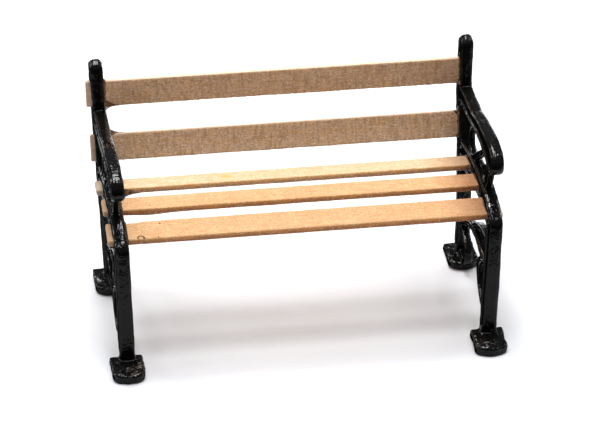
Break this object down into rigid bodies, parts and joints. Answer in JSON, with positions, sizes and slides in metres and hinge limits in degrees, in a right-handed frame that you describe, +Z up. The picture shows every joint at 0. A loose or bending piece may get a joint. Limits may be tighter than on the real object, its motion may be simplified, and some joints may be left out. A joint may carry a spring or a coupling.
{
  "type": "miniature garden bench",
  "caption": "Miniature slatted garden bench: cast end frames with arms, scrolls and foot pads, and plain wooden slats pushed through slots and glued.",
  "frame": {"origin": "on the floor, under the middle of the bench's overall box", "axes": "+X along the slats to the sitter's left-hand side as seen from the front, -Y to the front, +Z up"},
  "size_m": [0.109, 0.0656, 0.0651],
  "materials": {
    "iron": "thick glossy black enamel over a metal casting",
    "wood": "bare pale sawn wood, matt, with fuzzy edges",
    "glue": "dried brown glue, glossy"
  },
  "bodies": {
    "root": {"end_frame_left": "iron", "end_frame_right": "iron", "seat_slat_front": "wood", "seat_slat_middle": "wood", "seat_slat_rear": "wood", "back_slat_lower": "wood", "back_slat_upper": "wood", "glue_seat_slat_front_left": "glue", "glue_seat_slat_front_right": "glue", "glue_seat_slat_middle_left": "glue", "glue_seat_slat_middle_right": "glue", "glue_seat_slat_rear_left": "glue", "glue_seat_slat_rear_right": "glue", "glue_back_slat_lower_left": "glue", "glue_back_slat_lower_right": "glue", "glue_back_slat_upper_left": "glue", "glue_back_slat_upper_right": "glue"}
  },
  "joints": []
}
